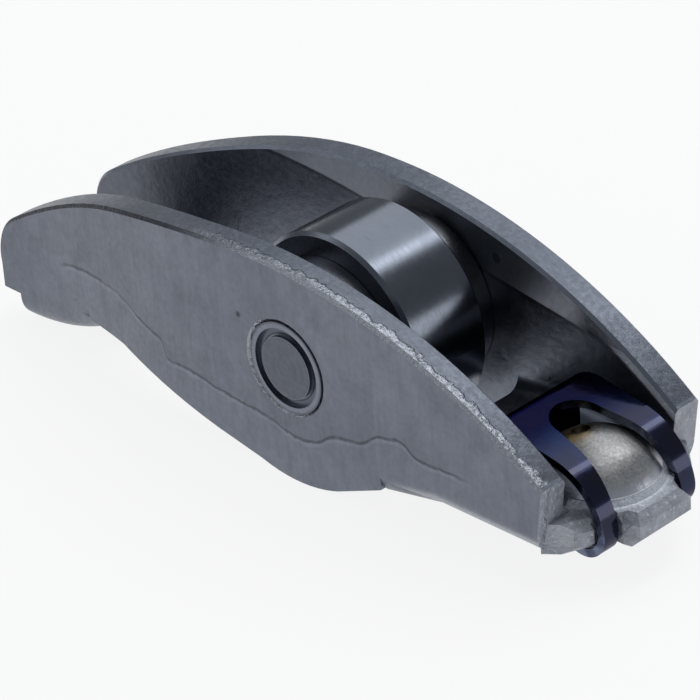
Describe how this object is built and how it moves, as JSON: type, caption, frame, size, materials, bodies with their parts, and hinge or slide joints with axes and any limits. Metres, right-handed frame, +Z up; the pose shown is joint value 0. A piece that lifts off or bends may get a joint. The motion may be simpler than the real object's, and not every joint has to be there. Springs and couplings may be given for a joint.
{
  "type": "roller finger follower rocker arm",
  "caption": "Pressed steel roller rocker arm: curved channel-shaped lever with a domed pivot socket and spring clip at one end, a roller on a needle bearing, and a valve pad at the other.",
  "frame": {"origin": "centre of the pivot ball that the domed socket takes", "axes": "+X from the roller towards the socket end lip, +Y along the roller axle, +Z up on the cam side; the part stands on its lower edges as modelled"},
  "size_m": [0.0658, 0.018, 0.0184],
  "materials": {
    "pressed_steel": "satin, blasted and oiled grey steel",
    "axle_steel": "satin ground steel",
    "roller_steel": "ground and polished bearing steel",
    "washer_steel": "ground steel",
    "needle_steel": "polished bearing steel",
    "blued_spring_steel": "blued spring steel, smooth"
  },
  "bodies": {
    "lever": {"lever_body": "pressed_steel", "axle_pin": "axle_steel", "retaining_clip": "blued_spring_steel"},
    "roller": {"roller_ring": "roller_steel"},
    "needle_set": {"needle_01": "needle_steel", "needle_02": "needle_steel", "needle_03": "needle_steel", "needle_04": "needle_steel", "needle_05": "needle_steel", "needle_06": "needle_steel", "needle_07": "needle_steel", "needle_08": "needle_steel", "needle_09": "needle_steel", "needle_10": "needle_steel", "needle_11": "needle_steel", "needle_12": "needle_steel", "needle_13": "needle_steel", "needle_14": "needle_steel", "needle_15": "needle_steel", "needle_16": "needle_steel", "needle_17": "needle_steel", "needle_18": "needle_steel"},
    "washer_left": {"thrust_washer_left": "washer_steel"},
    "washer_right": {"thrust_washer_right": "washer_steel"}
  },
  "joints": [
    {"name": "roller_spin", "type": "hinge", "parent": "lever", "child": "roller", "pos_m": [-0.0229, 0, 0.0071], "axis": [0, 1, 0], "continuous": true},
    {"name": "needle_orbit", "type": "hinge", "parent": "lever", "child": "needle_set", "pos_m": [-0.0229, 0, 0.0071], "axis": [0, 1, 0], "continuous": true},
    {"name": "washer_left_spin", "type": "hinge", "parent": "lever", "child": "washer_left", "pos_m": [-0.0229, 0, 0.0071], "axis": [0, 1, 0], "continuous": true},
    {"name": "washer_right_spin", "type": "hinge", "parent": "lever", "child": "washer_right", "pos_m": [-0.0229, 0, 0.0071], "axis": [0, 1, 0], "continuous": true}
  ],
  "couplings": [
    {"joint": "needle_orbit", "follows": "roller_spin", "ratio": 0.5852}
  ]
}
